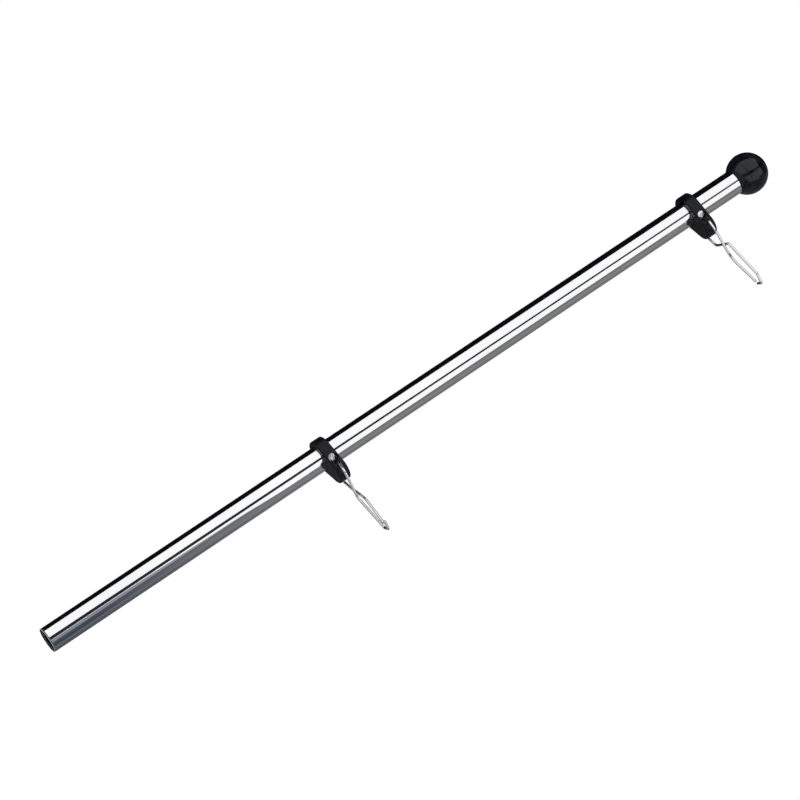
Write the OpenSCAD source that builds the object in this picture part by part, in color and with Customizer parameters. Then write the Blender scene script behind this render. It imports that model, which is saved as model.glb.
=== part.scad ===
// Boat flagpole: a steel tube with a ball on its head and two clips for the flag.
// Frame: origin at the centre of the tube's open foot, +Z along the tube, upper lobe towards +X.

/* [Pole] */
// Length of the tube, foot to head
pole_len = 622.3; // [450:0.1:900]
// Outside diameter of the tube
pole_d = 19.05; // [16:0.05:32]
// Wall thickness of the tube
pole_wall = 1.2; // [0.8:0.1:2]

/* [Ball] */
// Diameter of the ball
ball_d = 32; // [24:0.1:48]
// Length of the plug inside the tube
plug_len = 22; // [10:1:40]
// Radial gap between the plug and the tube
plug_gap = 0.1; // [0.05:0.05:0.3]

/* [Collars] */
// Distance from the tube's head down to the upper collar's middle
upper_inset = 41.9; // [20:0.1:100]
// Distance between the middles of the two collars
clip_spacing = 339.9; // [150:0.1:345]
// Turn of the upper lobe about the pole
upper_turn = 0; // [-45:1:45]
// Turn of the lower lobe about the pole
lower_turn = -9.5; // [-45:0.5:45]
// Wall of the ring around the tube
ring_wall = 3.8; // [3:0.1:5]
// Radial gap between the ring and the tube
ring_gap = 0.1; // [0.05:0.05:0.3]
// Height of a collar along the pole
collar_h = 9.5; // [9:0.1:16]
// Distance from the outside of the ring to the tip of the lobe
lobe_reach = 12.4; // [9:0.1:13]
// Radius of the lobe's broad round end
lobe_tip_r = 10.1; // [8:0.1:11]
// Radius of the collar's rounded edges
edge_r = 1.4; // [0.3:0.1:2.5]

/* [Set screws] */
// Angle of the screw from its lobe, about the pole
screw_angle = -37.5; // [-60:0.5:-36]
// Diameter of the thread
screw_d = 3.5; // [3:0.1:4]
// Diameter of the head
screw_head_d = 6.6; // [5:0.1:6.8]
// Height of the head
screw_head_h = 1.9; // [1.5:0.1:2.4]
// Wall left under the screw's seat
screw_seat_wall = 3.4; // [2:0.1:3.8]
// Gap around the head in its counterbore
head_gap = 0.4; // [0.2:0.1:0.6]
// Gap around the thread
thread_gap = 0.05; // [0.05:0.05:0.15]
// Gap between the screw's tip and the tube
tip_gap = 0.1; // [0.05:0.05:0.3]
// Width of the hex socket across its flats
socket_w = 3; // [1.5:0.1:3.2]
// Depth of the hex socket
socket_depth = 1.4; // [0.6:0.1:1.5]
// Height of the head's dome
dome_h = 0.6; // [0.5:0.1:1.3]

/* [Wire snaps] */
// Diameter of the wire
wire_d = 2; // [1.5:0.1:2.5]
// Gap around the wire in its hole
wire_gap = 0.25; // [0.15:0.05:0.5]
// Distance of the wire's hole from the outside of the ring
hole_out = 6.6; // [4.5:0.1:8.5]
// Gap between the legs and the sides of the lobe
leg_gap = 0.5; // [0.4:0.1:1.5]
// Length of a snap from its hole to its tip
snap_len = 62.5; // [50:0.5:80]
// Distance from the hole to the bend where the hook arm straightens
kink_at = 22; // [20:0.5:26]
// Width between the middles of the upper snap's arms
upper_arm_space = 10.4; // [5:0.1:12]
// Width between the middles of the lower snap's arms
lower_arm_space = 6; // [5:0.1:12]
// Distance of the hook arm's middle from the middle of the collar
hook_side = 6.9; // [5:0.1:8]
// Gap between the arms where they cross
cross_gap = 0.4; // [0.3:0.1:1]
// Lift of the upper snap from level
upper_lift = 0; // [-10:0.5:10]
// Lift of the lower snap from level
lower_lift = -3; // [-10:0.5:10]

/* [Hidden] */

$fn = 64;
cut = 0.5;
pole_r = pole_d / 2;
bore_r = pole_r - pole_wall;
upper_z = pole_len - upper_inset;
lower_z = upper_z - clip_spacing;
ball_r = ball_d / 2;
ball_z = pole_len + sqrt(ball_r * ball_r - pole_r * pole_r);
ring_bore_r = pole_r + ring_gap;
ring_r = ring_bore_r + ring_wall;
tip_x = ring_r + lobe_reach - lobe_tip_r;
hole_x = ring_r + hole_out;
wire_r = wire_d / 2;
hull_fn = 48;

// Slope of the lobe's flanks, which touch both the ring and the tip, and its half width at the legs
flank_cos = (ring_r - lobe_tip_r) / tip_x;
flank_sin = sqrt(1 - flank_cos * flank_cos);
flank_end = tip_x + lobe_tip_r * flank_cos;
leg_x = hole_x - wire_r;
lobe_half = leg_x < flank_end
    ? (ring_r - leg_x * flank_cos) / flank_sin
    : sqrt(lobe_tip_r * lobe_tip_r - (leg_x - tip_x) * (leg_x - tip_x));

screw_seat = ring_bore_r + screw_seat_wall;
screw_top = screw_seat + screw_head_h;
socket_r = socket_w / (2 * cos(30));

tight_r = 1.6;
bend_step = 18;
wire_sides = 12;
arm_r = wire_r - 0.02;
leg_y = lobe_half + leg_gap + wire_r;
pin_y = leg_y - tight_r;
cross_rise = (wire_d + cross_gap) / 2;
overlap = 0.4;

// Outline of a disc with rounded outer edges, for turning about its axis
module disc_outline(r) {
    square([r - edge_r, collar_h]);
    translate([0, edge_r]) square([r, collar_h - 2 * edge_r]);
    for (z = [edge_r, collar_h - edge_r]) translate([r - edge_r, z]) circle(edge_r, $fn = 24);
}

module rounded_disc(r) {
    translate([0, 0, -collar_h / 2]) rotate_extrude($fn = hull_fn) intersection() {
        disc_outline(r);
        square([r, collar_h]);
    }
}

// Lines a piece up with the radius at the given angle, with the pole's axis as its zero
module along_radius(angle) {
    rotate([0, 90, angle]) children();
}

module collar() {
    difference() {
        hull() {
            rounded_disc(ring_r);
            translate([tip_x, 0, 0]) rounded_disc(lobe_tip_r);
        }
        cylinder(h = collar_h + 2 * cut, r = ring_bore_r, center = true);
        translate([hole_x, 0, 0]) rotate([90, 0, 0])
            cylinder(h = 2 * ring_r, r = wire_r + wire_gap, center = true);
        along_radius(screw_angle) cylinder(h = ring_r + lobe_reach, r = screw_d / 2 + thread_gap);
        along_radius(screw_angle) translate([0, 0, screw_seat])
            cylinder(h = lobe_reach, r = screw_head_d / 2 + head_gap);
    }
}

module set_screw() {
    head_r = screw_head_d / 2;
    dome_r = (head_r * head_r + dome_h * dome_h) / (2 * dome_h);
    along_radius(screw_angle) difference() {
        union() {
            translate([0, 0, pole_r + tip_gap]) cylinder(h = screw_seat - pole_r, r = screw_d / 2);
            translate([0, 0, screw_seat]) intersection() {
                cylinder(h = screw_head_h, r = head_r);
                translate([0, 0, screw_head_h - dome_r]) sphere(dome_r);
            }
        }
        translate([0, 0, screw_top - socket_depth])
            cylinder(h = socket_depth + cut, r = socket_r, $fn = 6);
    }
}

module pole_tube() {
    color("gainsboro") difference() {
        cylinder(h = pole_len, r = pole_r);
        translate([0, 0, -cut]) cylinder(h = pole_len + 2 * cut, r = bore_r);
    }
}

module ball_finial() {
    color([0.05, 0.05, 0.06]) union() {
        difference() {
            translate([0, 0, ball_z]) sphere(ball_r);
            translate([0, 0, pole_len - ball_r]) cylinder(h = ball_r, r = ball_r);
        }
        translate([0, 0, pole_len - plug_len]) cylinder(h = plug_len + cut, r = bore_r - plug_gap);
    }
}

// A wire's route is a list of corners, each a point with the radius of the bend that rounds it
function unit(v) = v / norm(v);
function heading(route, i) = unit(route[i + 1][0] - route[i][0]);
function turn_at(route, i) = acos(heading(route, i - 1) * heading(route, i));

// Points of the bend at one corner
function bend(route, i) = let (
    u = heading(route, i - 1),
    v = heading(route, i),
    r = route[i][1],
    angle = turn_at(route, i),
    steps = ceil(angle / bend_step),
    inward = unit(v - (u * v) * u),
    centre = route[i][0] - u * r * tan(angle / 2) + inward * r
) [for (k = [0:steps]) let (a = angle * k / steps) centre + r * (u * sin(a) - inward * cos(a))];

function path_of(route) = [
    route[0][0],
    for (i = [1:len(route) - 2]) each bend(route, i),
    route[len(route) - 1][0],
];

// Direction of travel at a point of a path
function travel(path, i) =
    unit(path[min(i + 1, len(path) - 1)] - path[max(i - 1, 0)]);

// Sideways direction carried to the next point of a path without twisting
function carried(path, i, side) = let (t = travel(path, i)) unit(side - (side * t) * t);

// Round wire swept along a path
module wire(path, first_side) {
    last = len(path) - 1;
    sides = [for (i = 0, side = first_side; i <= last; i = i + 1, side = carried(path, min(i, last), side))
        side];
    points = [for (i = [0:last]) let (side = sides[i], rise = cross(travel(path, i), side))
        for (k = [0:wire_sides - 1]) let (a = 360 * k / wire_sides)
            path[i] + arm_r * (side * cos(a) + rise * sin(a))];
    walls = [for (i = [0:last - 1], k = [0:wire_sides - 1]) let (m = (k + 1) % wire_sides)
        [i * wire_sides + k, (i + 1) * wire_sides + k, (i + 1) * wire_sides + m, i * wire_sides + m]];
    ends = [[for (k = [0:wire_sides - 1]) k],
            [for (k = [wire_sides - 1:-1:0]) last * wire_sides + k]];
    polyhedron(points, concat(walls, ends));
}

module pin_and_arm(side, route) {
    from = side * (pin_y - overlap);
    wire(path_of(concat([[[0, from, 0], 0], [[0, side * leg_y, 0], tight_r]], route)), [1, 0, 0]);
}

// Wire bent from a pin in its hole into a plain arm and, crossing over it, an arm with a hook
module wire_snap(lift, arm_space, turned_over) {
    plain_y = arm_space - hook_side;
    hook_x = snap_len - wire_r;
    translate([hole_x, 0, 0]) rotate([0, -lift, 0]) rotate([turned_over ? 180 : 0, 0, 0]) {
        rotate([90, 0, 0]) cylinder(h = 2 * pin_y, r = wire_r, center = true);
        pin_and_arm(-1, [
            [[8, -leg_y - 0.3, -cross_rise], 8],
            [[kink_at + 7, plain_y, -cross_rise], 20],
            [[hook_x - 6, plain_y, 0], 0],
        ]);
        pin_and_arm(1, [
            [[9.5, leg_y + 1.5, cross_rise], 4.5],
            [[kink_at, 1.1 - hook_side, cross_rise], tight_r],
            [[hook_x - 6, -hook_side, 0.2], 2],
            [[hook_x, -0.26 * hook_side, 0], 1.3],
            [[hook_x - 4, 0.55 * hook_side, 0], 0],
        ]);
    }
}

module at_clip(z, turn) {
    translate([0, 0, z]) rotate(turn) children();
}

module upper_collar() {
    color([0.08, 0.08, 0.09]) at_clip(upper_z, upper_turn) collar();
}

module upper_set_screw() {
    color("silver") at_clip(upper_z, upper_turn) set_screw();
}

module upper_wire_snap() {
    color("lightgray") at_clip(upper_z, upper_turn) wire_snap(upper_lift, upper_arm_space, false);
}

module lower_collar() {
    color([0.08, 0.08, 0.09]) at_clip(lower_z, lower_turn) collar();
}

module lower_set_screw() {
    color("silver") at_clip(lower_z, lower_turn) set_screw();
}

module lower_wire_snap() {
    color("lightgray") at_clip(lower_z, lower_turn) wire_snap(lower_lift, lower_arm_space, true);
}

pole_tube();
ball_finial();
upper_collar();
upper_set_screw();
upper_wire_snap();
lower_collar();
lower_set_screw();
lower_wire_snap();
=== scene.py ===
"""Looks of a small boat's flagpole: a polished tube, a black ball and two clips with wire snaps.

Sizes are in millimetres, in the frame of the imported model: the origin is at the middle of
the tube's open foot, +Z runs along the tube, and the upper clip's lobe points to +X.
"""

from __future__ import annotations

import logging
import math
from dataclasses import dataclass, field
from enum import Enum

import bmesh
import bpy
from mathutils import Matrix, Vector


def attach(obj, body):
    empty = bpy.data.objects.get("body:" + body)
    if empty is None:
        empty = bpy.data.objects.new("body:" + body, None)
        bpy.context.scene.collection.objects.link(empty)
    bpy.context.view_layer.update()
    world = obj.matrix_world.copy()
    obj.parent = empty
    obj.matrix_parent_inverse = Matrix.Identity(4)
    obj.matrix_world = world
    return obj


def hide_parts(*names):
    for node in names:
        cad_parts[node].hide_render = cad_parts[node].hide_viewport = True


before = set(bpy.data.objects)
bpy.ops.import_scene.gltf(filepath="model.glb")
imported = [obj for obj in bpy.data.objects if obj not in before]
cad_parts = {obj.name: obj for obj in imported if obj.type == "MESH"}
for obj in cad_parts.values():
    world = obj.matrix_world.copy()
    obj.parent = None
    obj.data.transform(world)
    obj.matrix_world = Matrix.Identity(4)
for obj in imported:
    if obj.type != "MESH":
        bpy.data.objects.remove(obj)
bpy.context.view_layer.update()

LOG = logging.getLogger("flagpole")
MM = 0.001
SHARP_ANGLE = 35.0  # degrees: an edge that turns more than this stays sharp
NOISE_LOW, NOISE_HIGH = 0.3, 0.7  # nearly all of a noise's values lie between these
CARD_TOP = 1500.0  # millimetres: the height of the studio's tall cards and of its lid
Pair = tuple[float, float]
Triple = tuple[float, float, float]
Colour = Triple


class Body(Enum):
    """The bodies that the pieces ride on."""

    POLE = "pole"
    UPPER_CLIP = "upper_clip"
    LOWER_CLIP = "lower_clip"
    UPPER_SNAP = "upper_snap"
    LOWER_SNAP = "lower_snap"


class Slot(Enum):
    """The record's material slots."""

    TUBE = "polished_tube"
    BALL = "ball_plastic"
    COLLAR = "collar_nylon"
    SCREW = "screw_steel"
    WIRE = "wire_steel"


class Recess(Enum):
    """The number of sides of the socket in a set screw's head."""

    SQUARE = 4
    HEX = 6


# ---------------------------------------------------------------- finishes


class NodeSheet:
    """The nodes of one material, added one at a time."""

    def __init__(self, name: str) -> None:
        """Starts an empty material.

        Args:
            name: what the material is called.
        """
        self.material = bpy.data.materials.new(name)
        self.material.use_nodes = True
        self.tree = self.material.node_tree
        self.tree.nodes.clear()

    def add(
        self, kind: str, inputs: dict[str | int, object], **settings: object
    ) -> bpy.types.Node:
        """Adds a node and fills in its sockets.

        Args:
            kind: the node's type, without its usual ShaderNode start.
            inputs: a value or another node's socket for each socket, by name or number.
            settings: the node's own properties.

        Returns:
            The new node.
        """
        node = self.tree.nodes.new("ShaderNode" + kind)
        for name, value in settings.items():
            setattr(node, name, value)
        for name, value in inputs.items():
            if isinstance(value, bpy.types.NodeSocket):
                self.tree.links.new(value, node.inputs[name])
            else:
                node.inputs[name].default_value = value
        return node

    def noise(self, stretch: Triple, detail: float, twist: float = 0.0) -> bpy.types.NodeSocket:
        """Adds noise laid out in the piece's own space.

        Args:
            stretch: how many times it repeats in a metre along X, Y and Z.
            detail: how many finer layers it has.
            twist: how much it is distorted.

        Returns:
            The socket with its value, from 0 to 1.
        """
        place = self.add("TexCoord", {})
        spread = self.add("Mapping", {"Vector": place.outputs["Object"], "Scale": stretch})
        texture = self.add("TexNoise", {"Vector": spread.outputs[0], "Scale": 1.0,
                                        "Detail": detail, "Distortion": twist})
        return texture.outputs[0]

    def between(
        self, value: bpy.types.NodeSocket, low: float, high: float
    ) -> bpy.types.NodeSocket:
        """Spreads the middle of a noise over a range of values.

        Args:
            value: the noise.
            low: the value where the noise is low.
            high: the value where it is high.

        Returns:
            The socket with the spread value.
        """
        node = self.add("MapRange", {"Value": value, "From Min": NOISE_LOW,
                                     "From Max": NOISE_HIGH, "To Min": low, "To Max": high})
        return node.outputs[0]

    def tint(
        self, value: bpy.types.NodeSocket, dark: Colour, light: Colour
    ) -> bpy.types.NodeSocket:
        """Turns a value into a colour between two others.

        Args:
            value: the value, from 0 to 1.
            dark: the colour where it is low.
            light: the colour where it is high.

        Returns:
            The socket with the colour.
        """
        ramp = self.add("ValToRGB", {"Fac": value})
        stops = ramp.color_ramp.elements
        for stop, place, colour in zip(stops, (NOISE_LOW, NOISE_HIGH), (dark, light)):
            stop.position = place
            stop.color = (*colour, 1.0)
        return ramp.outputs[0]

    def bump(
        self, height: bpy.types.NodeSocket, depth: float, strength: float
    ) -> bpy.types.NodeSocket:
        """Turns a height into a bumped surface direction.

        Args:
            height: the height, from 0 to 1.
            depth: how deep a height of 1 is, in metres.
            strength: how much of it shows.

        Returns:
            The socket with the direction.
        """
        node = self.add("Bump", {"Height": height, "Distance": depth, "Strength": strength})
        return node.outputs[0]

    def surface(self, inputs: dict[str | int, object]) -> bpy.types.Material:
        """Ends the material in one all-purpose shader.

        Args:
            inputs: a value or a socket for each of the shader's sockets named.

        Returns:
            The finished material.
        """
        shader = self.add("BsdfPrincipled", inputs)
        self.add("OutputMaterial", {"Surface": shader.outputs[0]})
        return self.material


@dataclass(frozen=True)
class PolishedSteel:
    """Stainless steel with a bright polish: fine drawn lines and faint handling haze.

    The lines and the haze are given by how many times they repeat in a metre along X, Y and Z.
    """

    name: str
    dark: Colour
    light: Colour
    smooth: float
    hazy: float
    lines: Triple
    line_depth: float
    line_detail: float = 2.0
    line_strength: float = 0.25
    haze: Triple = (38.0, 38.0, 17.0)
    haze_detail: float = 5.0
    haze_twist: float = 0.6

    def material(self) -> bpy.types.Material:
        """Returns a new material with this finish."""
        sheet = NodeSheet(self.name)
        haze = sheet.noise(self.haze, self.haze_detail, self.haze_twist)
        lines = sheet.noise(self.lines, self.line_detail)
        return sheet.surface({
            "Base Color": sheet.tint(haze, self.dark, self.light),
            "Metallic": 1.0,
            "Roughness": sheet.between(haze, self.smooth, self.hazy),
            "Normal": sheet.bump(lines, self.line_depth, self.line_strength),
        })


@dataclass(frozen=True)
class BlackPlastic:
    """Black moulded plastic: a grain, and faint flow marks and a little handling wear in its
    roughness.

    The same mottle tints its colour from the dark colour to a lighter slate-blue one; that tint
    is a painted sheen, a painted reflection of the studio on the gloss. The grain and the mottle
    are given by how many times they repeat in a metre.
    """

    name: str
    dark: Colour
    light: Colour
    smooth: float
    hazy: float
    grain: float
    grain_depth: float
    flow_and_sheen: float
    shine: float
    grain_detail: float = 3.0
    grain_strength: float = 0.3
    flow_and_sheen_upright: float = 0.8
    flow_and_sheen_detail: float = 4.0
    flow_and_sheen_twist: float = 1.2
    refraction: float = 1.5

    def material(self) -> bpy.types.Material:
        """Returns a new material with this finish."""
        sheet = NodeSheet(self.name)
        flow_and_sheen_stretch = (self.flow_and_sheen, self.flow_and_sheen, self.flow_and_sheen_upright * self.flow_and_sheen)
        flow_and_sheen = sheet.noise(flow_and_sheen_stretch, self.flow_and_sheen_detail, self.flow_and_sheen_twist)
        grain = sheet.noise((self.grain,) * 3, self.grain_detail)
        return sheet.surface({
            # The mottle's slate-blue tint in the colour is a painted sheen.
            "Base Color": sheet.tint(flow_and_sheen, self.dark, self.light),
            "Roughness": sheet.between(flow_and_sheen, self.smooth, self.hazy),
            "IOR": self.refraction,
            "Specular IOR Level": self.shine,
            "Normal": sheet.bump(grain, self.grain_depth, self.grain_strength),
        })


@dataclass(frozen=True)
class FloorPaint:
    """The pale floor, which isn't there for anyone who looks at it from below."""

    colour: Colour = (0.86, 0.86, 0.86)
    roughness: float = 0.7
    shine: float = 0.2

    def material(self) -> bpy.types.Material:
        """Returns a new material with this finish."""
        sheet = NodeSheet("pale_floor")
        paint = sheet.add("BsdfPrincipled", {"Base Color": (*self.colour, 1.0),
                                             "Roughness": self.roughness,
                                             "Specular IOR Level": self.shine})
        clear = sheet.add("BsdfTransparent", {})
        side = sheet.add("NewGeometry", {})
        mix = sheet.add("MixShader", {0: side.outputs["Backfacing"], 1: paint.outputs[0],
                                      2: clear.outputs[0]})
        sheet.add("OutputMaterial", {"Surface": mix.outputs[0]})
        return sheet.material


@dataclass(frozen=True)
class CardPaper:
    """A studio card's glow, which shades from its lower part to its upper part.

    The fade is the two heights, in metres, between which it shades.
    """

    low: Colour
    high: Colour
    fade: Pair = (0.0, 1.0)

    def material(self) -> bpy.types.Material:
        """Returns a new material with this finish."""
        sheet = NodeSheet("studio_card")
        place = sheet.add("TexCoord", {})
        height = sheet.add("SeparateXYZ", {0: place.outputs["Object"]})
        share = sheet.add("MapRange", {"Value": height.outputs[2], "From Min": self.fade[0],
                                       "From Max": self.fade[1]},
                          interpolation_type="SMOOTHSTEP")
        ramp = sheet.add("ValToRGB", {"Fac": share.outputs[0]})
        for stop, colour in zip(ramp.color_ramp.elements, (self.low, self.high)):
            stop.color = (*colour, 1.0)
        glow = sheet.add("Emission", {"Color": ramp.outputs[0], "Strength": 1.0})
        sheet.add("OutputMaterial", {"Surface": glow.outputs[0]})
        return sheet.material


def plain_paper(colour: Colour) -> CardPaper:
    """Returns card paper of one colour all over."""
    return CardPaper(colour, colour)


TUBE_STEEL = PolishedSteel(
    name="polished_tube_steel", dark=(0.84, 0.845, 0.855), light=(0.91, 0.91, 0.915),
    smooth=0.045, hazy=0.085, lines=(2200.0, 2200.0, 14.0), line_depth=0.00001)
SCREW_STEEL = PolishedSteel(
    name="bright_screw_steel", dark=(0.90, 0.90, 0.91), light=(0.97, 0.97, 0.97),
    smooth=0.30, hazy=0.42, lines=(700.0, 700.0, 700.0), line_depth=0.000003)
WIRE_STEEL = PolishedSteel(
    name="spring_wire_steel", dark=(0.88, 0.88, 0.88), light=(0.96, 0.96, 0.96),
    smooth=0.13, hazy=0.20, lines=(60.0, 2600.0, 2600.0), line_depth=0.00001)
# The ball's light colour is a slate-blue painted reflection, spread by the mottle.
BALL_PLASTIC = BlackPlastic(
    name="gloss_ball_plastic", dark=(0.001, 0.001, 0.0015), light=(0.010, 0.014, 0.020),
    smooth=0.05, hazy=0.22, grain=260.0, grain_depth=0.0002, flow_and_sheen=120.0, shine=0.36)
# The collar's light colour is a faint slate-blue painted sheen, spread by the mottle.
COLLAR_NYLON = BlackPlastic(
    name="moulded_collar_nylon", dark=(0.002, 0.002, 0.003), light=(0.008, 0.009, 0.013),
    smooth=0.26, hazy=0.40, grain=2600.0, grain_depth=0.00004, flow_and_sheen=90.0, shine=0.2)


# ---------------------------------------------------------------- shapes


def soften(mesh: bpy.types.Mesh) -> None:
    """Smooths a mesh's shading between its sharp edges."""
    mesh.shade_smooth()
    mesh.set_sharp_from_angle(angle=math.radians(SHARP_ANGLE))


def mesh_piece(
    name: str, points: list[Vector], faces: list[tuple[int, ...]]
) -> bpy.types.Object:
    """Makes a piece from points in millimetres.

    Args:
        name: what the piece is called.
        points: its points.
        faces: its faces, as numbers of points.

    Returns:
        The new piece, smooth between its sharp edges.
    """
    mesh = bpy.data.meshes.new(name)
    mesh.from_pydata([tuple(Vector(p) * MM) for p in points], [], faces)
    edit = bmesh.new()
    edit.from_mesh(mesh)
    bmesh.ops.recalc_face_normals(edit, faces=edit.faces)
    edit.to_mesh(mesh)
    edit.free()
    soften(mesh)
    piece = bpy.data.objects.new(name, mesh)
    bpy.context.scene.collection.objects.link(piece)
    return piece


def turned(
    name: str, profile: list[Pair], sides: int, closed: bool = False
) -> bpy.types.Object:
    """Turns a profile about the Z axis.

    Args:
        name: what the piece is called.
        profile: its radius and height at each step, in millimetres.
        sides: how many steps the turn has.
        closed: whether the profile's last step joins its first.

    Returns:
        The new piece.
    """
    points: list[Vector] = []
    rings: list[list[int]] = []
    for radius, height in profile:
        count = 1 if radius == 0 else sides
        rings.append([len(points) + k for k in range(count)])
        for k in range(count):
            angle = 2 * math.pi * k / sides
            points.append(Vector((radius * math.cos(angle), radius * math.sin(angle), height)))
    faces: list[tuple[int, ...]] = []
    following = rings[1:] + (rings[:1] if closed else [])
    for ring, above in zip(rings, following):
        for k in range(sides):
            m = (k + 1) % sides
            corners = [ring[k % len(ring)], ring[m % len(ring)],
                       above[m % len(above)], above[k % len(above)]]
            faces.append(tuple(dict.fromkeys(corners)))
    return mesh_piece(name, points, faces)


def arc(centre: Pair, radius: float, start: float, end: float, steps: int) -> list[Pair]:
    """Lists the points of an arc, both ends included.

    Args:
        centre: its middle.
        radius: its radius.
        start: the angle it starts at, in degrees.
        end: the angle it ends at, in degrees.
        steps: how many steps it has.

    Returns:
        The points in order.
    """
    turns = [math.radians(start + (end - start) * k / steps) for k in range(steps + 1)]
    return [(centre[0] + radius * math.cos(a), centre[1] + radius * math.sin(a))
            for a in turns]


def cut_away(piece: bpy.types.Object, cutters: list[bpy.types.Object]) -> None:
    """Cuts other shapes out of a piece, and takes them away.

    Args:
        piece: the piece that is cut.
        cutters: the shapes that are cut out of it.
    """
    for cutter in cutters:
        cut = piece.modifiers.new("cut", "BOOLEAN")
        cut.operation = "DIFFERENCE"
        cut.solver = "EXACT"
        cut.object = cutter
    bpy.context.view_layer.update()
    solid = piece.evaluated_get(bpy.context.evaluated_depsgraph_get())
    mesh = bpy.data.meshes.new_from_object(solid)
    piece.modifiers.clear()
    piece.data = mesh
    soften(mesh)
    for cutter in cutters:
        bpy.data.objects.remove(cutter)


def steady_shading(piece: bpy.types.Object) -> None:
    """Lets a piece's large faces set how its edges shade.

    Args:
        piece: the piece.
    """
    weigh = piece.modifiers.new("shading", "WEIGHTED_NORMAL")
    weigh.keep_sharp = True


def round_corners(corners: list[tuple[Vector, float]], step: float) -> list[Vector]:
    """Follows a route of corners, with each one rounded.

    Args:
        corners: each corner with the radius that rounds it, in millimetres.
        step: the turn of one step of a bend, in degrees.

    Returns:
        The points of the route.
    """
    route = [corners[0][0]]
    for (before, _), (corner, radius), (after, _) in zip(corners, corners[1:], corners[2:]):
        u = (corner - before).normalized()
        v = (after - corner).normalized()
        angle = u.angle(v)
        inward = (v - u.dot(v) * u).normalized()
        centre = corner - u * radius * math.tan(angle / 2) + inward * radius
        steps = max(1, math.ceil(math.degrees(angle) / step))
        for k in range(steps + 1):
            a = angle * k / steps
            route.append(centre + radius * (u * math.sin(a) - inward * math.cos(a)))
    return route + [corners[-1][0]]


def bent_wire(
    name: str, route: list[Vector], radius: float, sides: int, end_break: float
) -> bpy.types.Object:
    """Sweeps a round wire along a route and breaks the edges of its two cut ends.

    Args:
        name: what the piece is called.
        route: the middle of the wire, in millimetres.
        radius: the wire's radius.
        sides: how many sides the wire has.
        end_break: how much of its radius is taken off at its ends, as a share.
    Returns:
        The new piece.
    """
    last = len(route) - 1
    ways = [(route[min(i + 1, last)] - route[max(i - 1, 0)]).normalized()
            for i in range(last + 1)]
    side = ways[0].orthogonal().normalized()
    points: list[Vector] = []

    def ring(middle: Vector, across: Vector, way: Vector, size: float) -> None:
        """Adds one ring of points around the wire's middle."""
        up = way.cross(across)
        for k in range(sides):
            a = 2 * math.pi * k / sides
            points.append(middle + size * (across * math.cos(a) + up * math.sin(a)))

    edge = end_break * radius
    for middle, way in zip(route, ways):
        side = (side - side.dot(way) * way).normalized()
        if middle is route[0]:
            ring(middle, side, way, radius - edge)
            ring(middle + way * edge, side, way, radius)
        elif middle is route[-1]:
            ring(middle - way * edge, side, way, radius)
            ring(middle, side, way, radius - edge)
        else:
            ring(middle, side, way, radius)
    rings = len(points) // sides
    faces: list[tuple[int, ...]] = [tuple(range(sides))]
    for i in range(rings - 1):
        near, far = i * sides, (i + 1) * sides
        for k in range(sides):
            m = (k + 1) % sides
            faces.append((near + k, near + m, far + m, far + k))
    faces.append(tuple(range((rings - 1) * sides, rings * sides)))
    return mesh_piece(name, points, faces)


def hand_over(
    piece: bpy.types.Object, material: bpy.types.Material, body: Body, node: str
) -> None:
    """Dresses a finished piece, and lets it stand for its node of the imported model.

    Args:
        piece: the piece.
        material: its finish.
        body: the body it rides on.
        node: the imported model's node that it stands for.
    """
    piece.data.materials.clear()
    piece.data.materials.append(material)
    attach(piece, body.value)
    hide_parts(node)
    LOG.info("%s rides on %s with %d faces", piece.name, body.value, len(piece.data.polygons))


# ---------------------------------------------------------------- the pole


@dataclass
class PoleTube:
    """The thin steel tube, open at the foot."""

    length: float = 622.3
    diameter: float = 19.05
    wall: float = 1.2
    outer_break: float = 0.35
    inner_break: float = 0.2
    outer_break_steps: int = 5
    inner_break_steps: int = 4
    length_steps: int = 12
    sides: int = 256

    def build(self) -> bpy.types.Object:
        """Returns the tube, with the sharp edges of its ends taken off."""
        outer = self.diameter / 2
        inner = outer - self.wall
        foot = (arc((outer - self.outer_break, self.outer_break), self.outer_break,
                    0, -90, self.outer_break_steps)
                + arc((inner + self.inner_break, self.inner_break), self.inner_break,
                      -90, -180, self.inner_break_steps))
        head = [(radius, self.length - height) for radius, height in reversed(foot)]
        steps = self.length_steps
        inside = [(inner, self.length * k / steps) for k in range(1, steps)]
        outside = [(outer, self.length * (steps - k) / steps) for k in range(1, steps)]
        tube = turned("tube", foot + inside + head + outside, self.sides, closed=True)
        steady_shading(tube)
        return tube

    def dress(self, tube: bpy.types.Object) -> None:
        """Dresses the tube."""
        hand_over(tube, TUBE_STEEL.material(), Body.POLE, "pole_tube")


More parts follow.
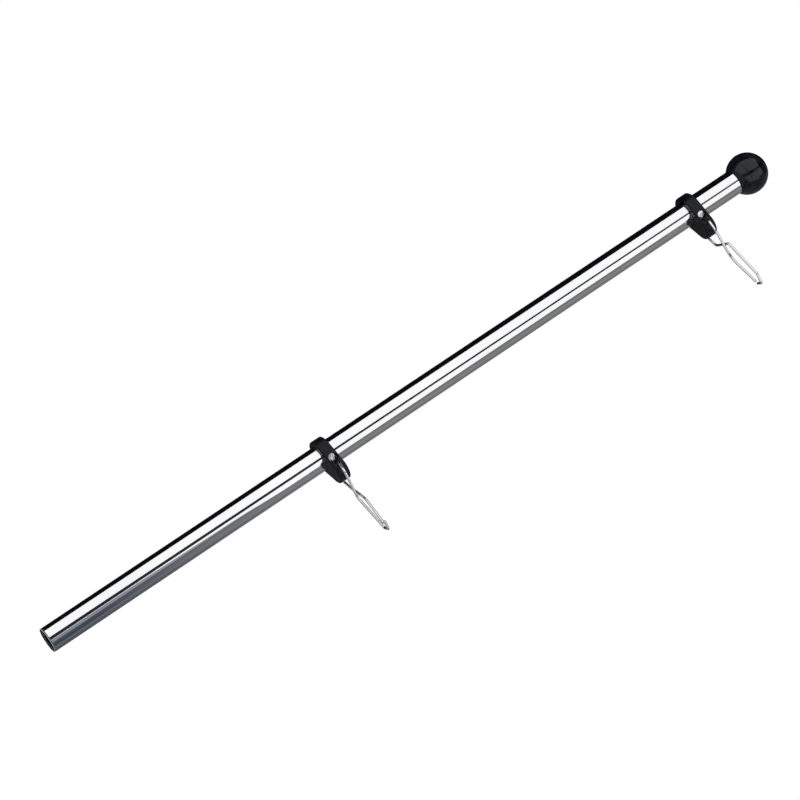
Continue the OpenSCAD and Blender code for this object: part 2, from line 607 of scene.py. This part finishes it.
@dataclass
class BallFinial:
    """The glossy ball with the plug that holds it in the tube's head."""

    tube: PoleTube
    diameter: float = 32.0
    plug_length: float = 22.0
    plug_gap: float = 0.1
    plug_chamfer: float = 0.8
    seam_height: float = 0.012
    seam_width: float = 0.5
    steps: int = 96
    sides: int = 160

    def profile(self) -> list[Pair]:
        """Lists the radius and height of the ball and its plug, from the top down."""
        radius = self.diameter / 2
        neck = self.tube.diameter / 2
        middle = self.tube.length + math.sqrt(radius ** 2 - neck ** 2)
        start = math.degrees(math.asin((self.tube.length - middle) / radius))
        ball = arc((0, middle), radius, 90, start, self.steps)
        ball[0] = (0, ball[0][1])  # the top is one point, exactly on the axis
        plug = neck - self.tube.wall - self.plug_gap
        foot = self.tube.length - self.plug_length
        return ball + [(plug, self.tube.length), (plug, foot + self.plug_chamfer),
                       (plug - self.plug_chamfer, foot), (0, foot)]

    def build(self) -> bpy.types.Object:
        """Returns the ball, with the fine seam its mould left around it from pole to pole."""
        ball = turned("ball", self.profile(), self.sides)
        lowest = self.tube.length * MM
        for vertex in ball.data.vertices:
            off_seam = abs(vertex.co.y) / (self.seam_width * MM)
            if vertex.co.z > lowest and off_seam < 1:
                flat = Vector((vertex.co.x, vertex.co.y, 0))
                sink = self.seam_height * MM * (1 - off_seam)
                if flat.length > sink:
                    vertex.co -= flat.normalized() * sink
        steady_shading(ball)
        return ball

    def dress(self, ball: bpy.types.Object) -> None:
        """Dresses the ball."""
        hand_over(ball, BALL_PLASTIC.material(), Body.POLE, "ball_finial")


# ---------------------------------------------------------------- the clips


@dataclass
class Collar:
    """The moulded ring around the tube, with the lobe that carries the snap.

    The two cuts are how far the cutters of the wire's hole and of the screw's pocket reach.
    """

    tube_radius: float = 9.525
    ring_gap: float = 0.15
    ring_radius: float = 13.425
    height: float = 9.5
    reach: float = 12.4
    tip_radius: float = 10.1
    edge: float = 1.4
    bore_break: float = 0.3
    hole_out: float = 6.6
    hole_radius: float = 1.25
    screw_angle: float = -37.5
    seat_depth: float = 3.5
    counterbore_radius: float = 3.7
    thread_radius: float = 1.8
    hole_cut: float = 30.0
    pocket_cut: Pair = (4.0, 24.0)
    ring_steps: int = 112
    tip_steps: int = 44
    flank_steps: int = 14
    edge_steps: int = 10
    face_steps: int = 6
    hole_sides: int = 40
    pocket_sides: int = 64

    @property
    def tip_x(self) -> float:
        """How far the middle of the lobe's round end is from the tube's axis."""
        return self.ring_radius + self.reach - self.tip_radius

    @property
    def hole_x(self) -> float:
        """How far the wire's hole is from the tube's axis."""
        return self.ring_radius + self.hole_out

    @property
    def slope(self) -> float:
        """The angle of the lobe's sides, where they leave the ring and meet the tip."""
        return math.acos((self.ring_radius - self.tip_radius) / self.tip_x)

    def lobe_half(self, beside: float) -> float:
        """Finds half the lobe's width beside the wire's legs.

        Args:
            beside: how far from the tube's axis the inner side of the legs is.

        Returns:
            The distance from the lobe's middle line to its edge.
        """
        if beside < self.tip_x + self.tip_radius * math.cos(self.slope):
            return (self.ring_radius - beside * math.cos(self.slope)) / math.sin(self.slope)
        return math.sqrt(self.tip_radius ** 2 - (beside - self.tip_x) ** 2)

    def outline(self, inset: float, height: float) -> list[Vector]:
        """Follows the collar's edge once around.

        Args:
            inset: how far inside the widest outline it is.
            height: how high it is above the collar's middle.

        Returns:
            The points, which match those of any other inset.
        """
        slope = math.degrees(self.slope)
        ring = arc((0, 0), self.ring_radius - inset, slope, 360 - slope, self.ring_steps)
        tip = arc((self.tip_x, 0), self.tip_radius - inset, -slope, slope, self.tip_steps)

        def flank(start: Pair, end: Pair) -> list[Pair]:
            """Lists the points between the ring and the tip."""
            steps = self.flank_steps
            return [(start[0] + (end[0] - start[0]) * k / steps,
                     start[1] + (end[1] - start[1]) * k / steps)
                    for k in range(1, steps)]

        edge = ring + flank(ring[-1], tip[0]) + tip + flank(tip[-1], ring[0])
        return [Vector((x, y, height)) for x, y in edge]

    def body(self, name: str) -> bpy.types.Object:
        """Makes the collar before its small holes are cut.

        Args:
            name: what the piece is called.

        Returns:
            The new piece.
        """
        half = self.height / 2
        turns = [math.radians(90 * k / self.edge_steps) for k in range(self.edge_steps + 1)]
        rounding = [(self.edge * (1 - math.sin(t)), half - self.edge * (1 - math.cos(t)))
                    for t in turns]
        widest = self.outline(0, 0)
        bore = self.tube_radius + self.ring_gap

        def bore_ring(radius: float, height: float) -> list[Vector]:
            """Lists points of the bore, each on the same ray as its point of the outline."""
            return [Vector((p.x, p.y, 0)).normalized() * radius + Vector((0, 0, height))
                    for p in widest]

        def face(side: int) -> list[list[Vector]]:
            """Lists the rings of a flat face, from the bore out."""
            near = bore_ring(bore + self.bore_break, side * half)
            far = self.outline(self.edge, side * half)
            return [[a.lerp(b, k / self.face_steps) for a, b in zip(near, far)]
                    for k in range(self.face_steps + 1)]

        # Once around the section: the bore, the upper face, the rounded edge, the wall, the
        # lower rounded edge, the lower face and the bore again.
        rings = [bore_ring(bore, 0), bore_ring(bore, half - self.bore_break)] + face(1)
        rings += [self.outline(inset, height) for inset, height in rounding[1:]]
        rings += [self.outline(0, (half - self.edge) * share) for share in (0.5, 0, -0.5)]
        rings += [self.outline(inset, -height) for inset, height in reversed(rounding[1:])]
        rings += face(-1)[::-1] + [bore_ring(bore, self.bore_break - half)]
        count = len(widest)
        points = [p for ring in rings for p in ring]
        faces: list[tuple[int, ...]] = []
        for i in range(len(rings)):
            near, far = i * count, (i + 1) % len(rings) * count
            for k in range(count):
                m = (k + 1) % count
                faces.append((near + k, near + m, far + m, far + k))
        return mesh_piece(name, points, faces)

    def build(self, name: str) -> bpy.types.Object:
        """Makes the collar, in place around the origin.

        Args:
            name: what the piece is called.

        Returns:
            The new piece.
        """
        piece = self.body(name)
        across = turned("wire_hole", [
            (0, -self.hole_cut), (self.hole_radius, -self.hole_cut),
            (self.hole_radius, self.hole_cut), (0, self.hole_cut),
        ], self.hole_sides)
        across.matrix_world = (Matrix.Translation((self.hole_x * MM, 0, 0))
                               @ Matrix.Rotation(math.pi / 2, 4, "X"))
        seat = self.tube_radius + self.seat_depth
        wide, narrow = self.counterbore_radius, self.thread_radius
        start, end = self.pocket_cut
        pocket = turned("screw_pocket", [
            (0, start), (narrow, start), (narrow, seat), (wide, seat), (wide, end), (0, end),
        ], self.pocket_sides)
        pocket.matrix_world = self.screw_way()
        cut_away(piece, [across, pocket])
        steady_shading(piece)
        return piece

    def screw_way(self) -> Matrix:
        """Returns the turn that lays the Z axis along the set screw."""
        turn = Matrix.Rotation(math.radians(self.screw_angle), 4, "Z")
        return turn @ Matrix.Rotation(math.pi / 2, 4, "Y")


@dataclass
class SetScrew:
    """The domed screw that grips the tube through the collar."""

    collar: Collar
    tip_gap: float = 0.1
    shank: float = 1.75
    head: float = 3.3
    head_height: float = 1.9
    dome: float = 0.6
    pitch: float = 0.5
    thread_depth: float = 0.22
    under_head: float = 0.1
    head_chamfer: float = 0.15
    recess: Recess = Recess.HEX
    recess_width: float = 3.0
    recess_depth: float = 1.4
    recess_point: float = 0.35
    recess_floor: float = 0.75
    lead_in_width: float = 0.45
    lead_in_below: float = 0.2
    lead_in_above: float = 0.3
    crown_steps: int = 14
    sides: int = 64

    def profile(self) -> list[Pair]:
        """Lists the radius and height of the screw, along its axis, from its tip to its crown."""
        tip = self.collar.tube_radius + self.tip_gap
        seat = self.collar.tube_radius + self.collar.seat_depth
        crown = seat + self.head_height
        steps = []
        height = tip
        while height + self.pitch < seat:
            steps += [(self.shank - self.thread_depth, height),
                      (self.shank, height + self.pitch / 2)]
            height += self.pitch
        dome_radius = (self.head ** 2 + self.dome ** 2) / (2 * self.dome)
        spread = math.degrees(math.asin(self.head / dome_radius))
        middle = (0, crown - dome_radius)
        crown_arc = arc(middle, dome_radius, 90 - spread, 90, self.crown_steps)[1:-1]
        head = [(self.shank - self.under_head, seat), (self.head - self.head_chamfer, seat),
                (self.head, seat + self.head_chamfer), (self.head, crown - self.dome)]
        return [(0, tip)] + steps + head + crown_arc + [(0, crown)]

    def build(self, name: str) -> bpy.types.Object:
        """Makes the screw, in place around the origin.

        Args:
            name: what the piece is called.

        Returns:
            The new piece.
        """
        screw = turned(name, self.profile(), self.sides)
        crown = self.collar.tube_radius + self.collar.seat_depth + self.head_height
        floor = crown - self.recess_depth
        reach = self.recess_width / 2 / math.cos(math.pi / self.recess.value)
        profile = [(0, floor - self.recess_point), (self.recess_floor * reach, floor),
                   (reach, floor), (reach, crown - self.lead_in_below),
                   (reach + self.lead_in_width, crown + self.lead_in_above),
                   (0, crown + self.lead_in_above)]
        socket = turned("recess", profile, self.recess.value)
        cut_away(screw, [socket])
        screw.data.transform(self.collar.screw_way())
        steady_shading(screw)
        return screw


@dataclass
class WireSnap:
    """The spring wire: a pin in the collar, a plain arm and, crossing over it, a hooked arm.

    A bend is the radius of a corner. A knee is where a leg turns in towards the crossing: how
    far it is from the pin, and how far it stands out past the leg.
    """

    collar: Collar
    lift: float
    arm_space: float
    turned_over: bool
    wire_radius: float = 0.975
    wire_shift: float = 1.0
    leg_gap: float = 0.5
    length: float = 62.5
    kink_at: float = 22.0
    hook_side: float = 6.9
    cross_gap: float = 0.4
    tight: float = 1.6
    arms_short: float = 6.0
    bow_on: float = 7.0
    bow_bend: float = 20.0
    plain_knee: Pair = (8.0, 0.3)
    plain_knee_bend: float = 8.0
    hooked_knee: Pair = (9.5, 1.5)
    hooked_knee_bend: float = 4.5
    kink_in: float = 1.1
    hook_lift: float = 0.2
    hook_bend: float = 2.0
    nose_side: float = 0.26
    nose_bend: float = 1.3
    barb_back: float = 4.0
    barb_side: float = 0.55
    end_break: float = 0.3
    bend_step: float = 6.0
    sides: int = 20

    def route(self) -> list[tuple[Vector, float]]:
        """Lists the wire's corners, from the end of the plain arm to the end of the hook."""
        inner = self.collar.hole_x - self.wire_shift
        leg = self.collar.lobe_half(inner) + self.leg_gap + self.wire_shift
        hooked = -self.hook_side
        plain = hooked + self.arm_space
        tip = self.length - self.wire_shift
        kink = self.kink_at
        rise = self.wire_shift + self.cross_gap / 2
        plain_at, plain_out = self.plain_knee
        hooked_at, hooked_out = self.hooked_knee
        return [
            (Vector((tip - self.arms_short, plain, 0)), 0.0),
            (Vector((kink + self.bow_on, plain, -rise)), self.bow_bend),
            (Vector((plain_at, -leg - plain_out, -rise)), self.plain_knee_bend),
            (Vector((0, -leg, 0)), self.tight),
            (Vector((0, leg, 0)), self.tight),
            (Vector((hooked_at, leg + hooked_out, rise)), self.hooked_knee_bend),
            (Vector((kink, hooked + self.kink_in, rise)), self.tight),
            (Vector((tip - self.arms_short, hooked, self.hook_lift)), self.hook_bend),
            (Vector((tip, self.nose_side * hooked, 0)), self.nose_bend),
            (Vector((tip - self.barb_back, -self.barb_side * hooked, 0)), 0.0),
        ]

    def build(self, name: str) -> bpy.types.Object:
        """Makes the snap, in place on a collar around the origin.

        Args:
            name: what the piece is called.

        Returns:
            The new piece.
        """
        middle = round_corners(self.route(), self.bend_step)
        wire = bent_wire(name, middle, self.wire_radius, self.sides, self.end_break)
        over = Matrix.Rotation(math.pi if self.turned_over else 0.0, 4, "X")
        lift = Matrix.Rotation(-math.radians(self.lift), 4, "Y")
        out = Matrix.Translation((self.collar.hole_x * MM, 0, 0))
        wire.data.transform(out @ lift @ over)
        return wire


@dataclass
class FlagClip:
    """A collar with its set screw and its wire snap, at its place on the pole."""

    side: str
    clip_body: Body
    snap_body: Body
    height: float
    turn: float
    lift: float
    arm_space: float
    turned_over: bool
    collar: Collar = field(default_factory=Collar)

    def place(self) -> Matrix:
        """Returns where the clip is on the pole."""
        turn = Matrix.Rotation(math.radians(self.turn), 4, "Z")
        return Matrix.Translation((0, 0, self.height * MM)) @ turn

    def build(self) -> dict[str, bpy.types.Object]:
        """Makes the clip's three pieces and puts them on the pole.

        Returns:
            The pieces by what they are.
        """
        snap = WireSnap(self.collar, self.lift, self.arm_space, self.turned_over)
        pieces = {
            "collar": self.collar.build(f"{self.side}_clip_collar"),
            "screw": SetScrew(self.collar).build(f"{self.side}_clip_screw"),
            "snap": snap.build(f"{self.side}_clip_snap"),
        }
        for piece in pieces.values():
            piece.data.transform(self.place())
        return pieces

    def dress(self, pieces: dict[str, bpy.types.Object]) -> None:
        """Dresses the clip's pieces.

        Args:
            pieces: the pieces by what they are.
        """
        hand_over(pieces["collar"], COLLAR_NYLON.material(), self.clip_body,
                  f"{self.side}_collar")
        hand_over(pieces["screw"], SCREW_STEEL.material(), self.clip_body,
                  f"{self.side}_set_screw")
        hand_over(pieces["snap"], WIRE_STEEL.material(), self.snap_body,
                  f"{self.side}_wire_snap")


# ---------------------------------------------------------------- the studio


def hide_from_all_but_shine(card: bpy.types.Object) -> None:
    """Lets a card show only in what shines.

    Args:
        card: the card.
    """
    for ray in ("camera", "diffuse", "transmission", "volume_scatter", "shadow"):
        setattr(card, f"visible_{ray}", False)


@dataclass
class StudioCard:
    """An upright card around the pole.

    Its edges are a list of heights, each with the angles it starts and ends at there. The
    angles are about the pole, from the way the camera looks from, towards the lobes.
    """

    name: str
    paper: CardPaper
    edges: tuple[Triple, ...]
    radius: float = 520.0
    steps: int = 24

    def build(self, facing: float) -> bpy.types.Object:
        """Makes the card.

        Args:
            facing: the angle the camera looks from, in degrees.

        Returns:
            The card.
        """
        points = []
        for height, start, end in self.edges:
            for i in range(self.steps + 1):
                angle = math.radians(facing + start + (end - start) * i / self.steps)
                points.append(Vector((self.radius * math.sin(angle),
                                      -self.radius * math.cos(angle), height)))
        wide = self.steps + 1
        faces = [(j * wide + i, j * wide + i + 1, (j + 1) * wide + i + 1, (j + 1) * wide + i)
                 for j in range(len(self.edges) - 1) for i in range(self.steps)]
        card = mesh_piece(self.name, points, faces)
        card.data.materials.append(self.paper.material())
        hide_from_all_but_shine(card)
        return card


@dataclass
class RoundCard:
    """A level round card over or under the pole."""

    name: str
    paper: CardPaper
    height: float
    radius: float = 520.0
    sides: int = 36

    def build(self) -> bpy.types.Object:
        """Returns the card."""
        around = arc((0, 0), self.radius, 0, 360 - 360 / self.sides, self.sides - 1)
        rim = [Vector((x, y, self.height)) for x, y in around]
        card = mesh_piece(self.name, rim, [tuple(range(len(rim)))])
        card.data.materials.append(self.paper.material())
        hide_from_all_but_shine(card)
        return card


@dataclass
class SoftLamp:
    """A large soft lamp, aimed at the middle of the pole."""

    name: str
    place: Triple
    size: float
    power: float

    def build(self, middle: Vector) -> bpy.types.Object:
        """Makes the lamp.

        Args:
            middle: the point it is aimed at, in metres.

        Returns:
            The lamp.
        """
        data = bpy.data.lights.new(self.name, "AREA")
        data.shape = "DISK"
        data.size = self.size
        data.energy = self.power
        lamp = bpy.data.objects.new(self.name, data)
        lamp.location = self.place
        lamp.rotation_euler = (middle - lamp.location).to_track_quat("-Z", "Y").to_euler()
        lamp.visible_camera = False
        lamp.visible_glossy = False
        bpy.context.scene.collection.objects.link(lamp)
        return lamp


@dataclass
class Studio:
    """The floor, cards, lamps, backdrop light and camera around the pole."""

    azimuth: float = 25.27
    elevation: float = -16.53
    roll: float = 56.3
    distance: float = 2332.1
    target: Triple = (-2.82, -1.31, 310.15)
    lens: float = 145.05
    sensor: float = 36.0
    sight: float = 100.0
    floor_size: float = 8000.0
    seen: float = 1.0
    shine: float = 1.08
    fill: float = 0.62

    def floor(self) -> None:
        """Lays the pale floor under the tube's foot."""
        half = self.floor_size / 2
        corners = [Vector((x * half, y * half, 0))
                   for x, y in ((-1, -1), (1, -1), (1, 1), (-1, 1))]
        floor = mesh_piece("floor", corners, [(0, 1, 2, 3)])
        floor.data.materials.append(FloorPaint().material())

    def backdrop(self) -> None:
        """Sets the white backdrop, which lights the pole softly from all around."""
        world = bpy.data.worlds.new("studio")
        bpy.context.scene.world = world
        world.use_nodes = True
        nodes, links = world.node_tree.nodes, world.node_tree.links
        nodes.clear()
        rays = nodes.new("ShaderNodeLightPath")
        out = nodes.new("ShaderNodeOutputWorld")
        levels = {"seen": self.seen, "shine": self.shine, "fill": self.fill}
        glow = {}
        for name, level in levels.items():
            glow[name] = nodes.new("ShaderNodeBackground")
            glow[name].inputs["Color"].default_value = (1.0, 1.0, 1.0, 1.0)
            glow[name].inputs["Strength"].default_value = level
        gloss = nodes.new("ShaderNodeMixShader")
        links.new(rays.outputs["Is Glossy Ray"], gloss.inputs[0])
        links.new(glow["fill"].outputs[0], gloss.inputs[1])
        links.new(glow["shine"].outputs[0], gloss.inputs[2])
        seen = nodes.new("ShaderNodeMixShader")
        links.new(rays.outputs["Is Camera Ray"], seen.inputs[0])
        links.new(gloss.outputs[0], seen.inputs[1])
        links.new(glow["seen"].outputs[0], seen.inputs[2])
        links.new(seen.outputs[0], out.inputs["Surface"])

    def cards(self) -> None:
        """Stands the cards that the polished tube and the black parts reflect."""
        black = plain_paper((0.004, 0.004, 0.005))
        thin = CardPaper((0.022, 0.020, 0.030), (0.13, 0.12, 0.14), (0.68, 0.86))
        near_grey = CardPaper((0.055, 0.060, 0.075), (0.19, 0.19, 0.19), (0.1, 0.28))
        middle_grey = CardPaper((0.125, 0.135, 0.165), (0.25, 0.25, 0.25), (0.1, 0.45))
        far_grey = CardPaper((0.085, 0.092, 0.115), (0.185, 0.185, 0.188), (0.1, 0.45))
        pale = CardPaper((0.24, 0.26, 0.33), (0.33, 0.34, 0.38), (0.1, 0.25))
        dark = CardPaper((0.075, 0.085, 0.11), (0.14, 0.15, 0.17), (0.1, 0.28))
        for card in (
            StudioCard("black_card", black, (
                (0, -180, -88), (100, -180, -87), (255, -180, -83.5), (415, -180, -81.5),
                (575, -180, -77.5), (735, -180, -71), (CARD_TOP, -180, -69))),
            StudioCard("thin_card", thin, (
                (0, -14, 15), (100, -13, 14), (255, -9, 13.5), (415, -4, 13.5),
                (575, -2, 13), (CARD_TOP, -2, 13)), radius=500.0),
            StudioCard("near_grey_card", near_grey, ((0, 54, 80), (CARD_TOP, 56, 80))),
            StudioCard("middle_grey_card", middle_grey, ((0, 80, 103), (CARD_TOP, 80, 103))),
            StudioCard("far_grey_card", far_grey, ((0, 103, 180), (CARD_TOP, 103, 180))),
            StudioCard("pale_wedge", pale, (
                (0, 14, 40), (170, 18, 40), (262, 31, 40), (305, 40, 40.1)), radius=510.0),
            StudioCard("dark_wedge", dark, (
                (0, 40, 56), (285, 40, 56), (325, 54, 56)), radius=510.0),
        ):
            card.build(self.azimuth)
        RoundCard("lid_card", plain_paper((0.02, 0.02, 0.025)), CARD_TOP).build()
        RoundCard("mat_card", plain_paper((0.34, 0.34, 0.35)), 1.0).build()
        RoundCard("foot_card", black, 0.9, radius=40.0).build()

    def lamps(self) -> None:
        """Hangs the soft lamps."""
        middle = Vector(self.target) * MM
        for lamp in (
            SoftLamp("key_lamp", place=(-1.2, -1.8, 2.0), size=1.6, power=26.0),
            SoftLamp("side_lamp", place=(2.0, -1.2, 1.0), size=1.6, power=16.0),
            SoftLamp("back_lamp", place=(0.3, 2.2, 1.8), size=1.6, power=14.0),
        ):
            lamp.build(middle)

    def camera(self) -> None:
        """Places the camera, which sees the pole rise from lower left to upper right."""
        data = bpy.data.cameras.new("camera")
        data.lens = self.lens
        data.sensor_width = self.sensor
        data.clip_end = self.sight
        camera = bpy.data.objects.new("camera", data)
        turn, rise = math.radians(self.azimuth), math.radians(self.elevation)
        way = Vector((math.sin(turn) * math.cos(rise), -math.cos(turn) * math.cos(rise),
                      math.sin(rise)))
        place = Matrix.Translation((Vector(self.target) + way * self.distance) * MM)
        level = way.to_track_quat("Z", "Y").to_matrix().to_4x4()
        camera.matrix_world = place @ level @ Matrix.Rotation(math.radians(self.roll), 4, "Z")
        bpy.context.scene.collection.objects.link(camera)
        bpy.context.scene.camera = camera

    def build(self) -> None:
        """Sets up the whole studio."""
        bpy.context.scene.view_settings.view_transform = "Standard"
        self.floor()
        self.backdrop()
        self.cards()
        self.lamps()
        self.camera()


def main() -> None:
    """Builds the pole, the ball, both clips and the studio, in that order."""
    logging.basicConfig(level=logging.INFO, format="%(name)s: %(message)s")
    tube = PoleTube()
    ball = BallFinial(tube)
    tube.dress(tube.build())
    ball.dress(ball.build())
    for clip in (
        FlagClip("upper", Body.UPPER_CLIP, Body.UPPER_SNAP, height=580.4, turn=0.0, lift=0.0,
                 arm_space=10.4, turned_over=False),
        FlagClip("lower", Body.LOWER_CLIP, Body.LOWER_SNAP, height=240.5, turn=-9.5, lift=-3.0,
                 arm_space=6.0, turned_over=True),
    ):
        clip.dress(clip.build())
    Studio().build()


if __name__ == "__main__":
    main()
